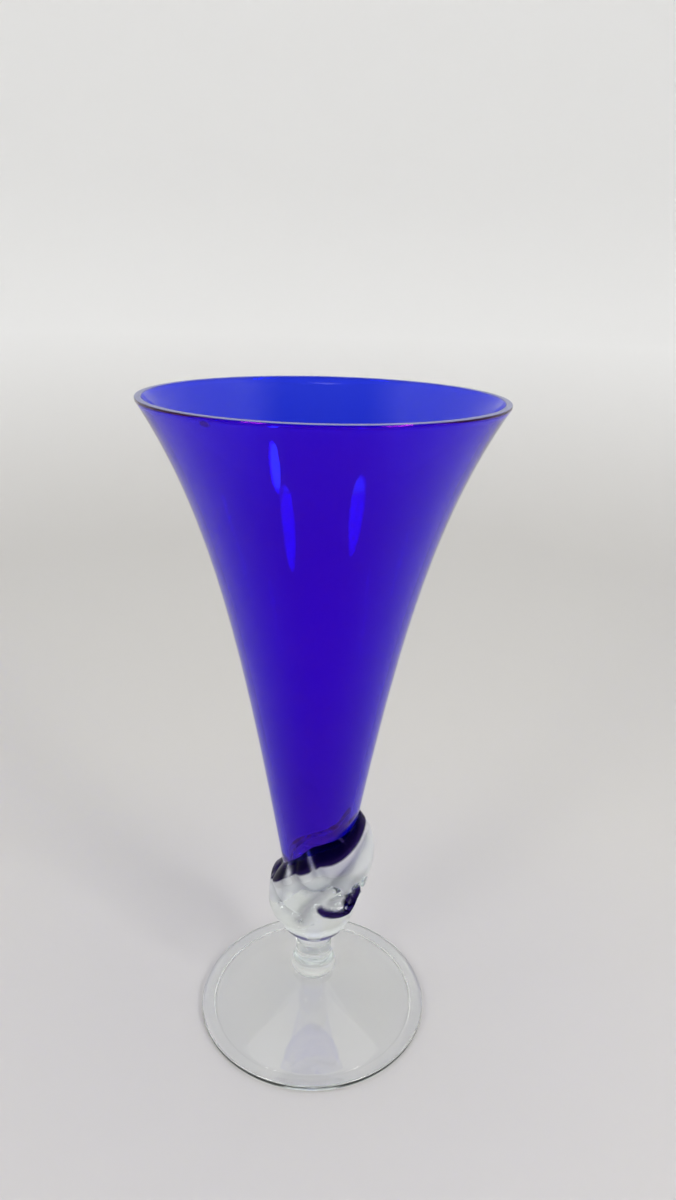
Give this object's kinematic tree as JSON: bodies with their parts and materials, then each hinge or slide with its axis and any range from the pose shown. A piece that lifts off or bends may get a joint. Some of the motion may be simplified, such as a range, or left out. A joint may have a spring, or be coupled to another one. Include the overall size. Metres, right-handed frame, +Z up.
{
  "type": "trumpet vase",
  "caption": "Tall footed trumpet vase of blown glass: flared bowl with a cobalt lining in a clear casing, crimped clear wrap, knopped stem and wide conical foot.",
  "frame": {"origin": "centre of the foot's flat resting ring, on the surface that the vase stands on", "axes": "+Z up along the vase's axis to the rim, -Y towards the side seen in the picture, where the tail of the wrap shows"},
  "size_m": [0.1448, 0.1448, 0.3],
  "materials": {
    "cobalt_glass": "fire-polished transparent cobalt blue",
    "clear_glass": "fire-polished clear with a faint green-grey edge tint"
  },
  "bodies": {
    "root": {"cobalt_lining": "cobalt_glass", "clear_casing": "clear_glass", "crimped_wrap": "clear_glass", "knop_stem": "clear_glass", "merese": "clear_glass", "foot": "clear_glass"}
  },
  "joints": []
}
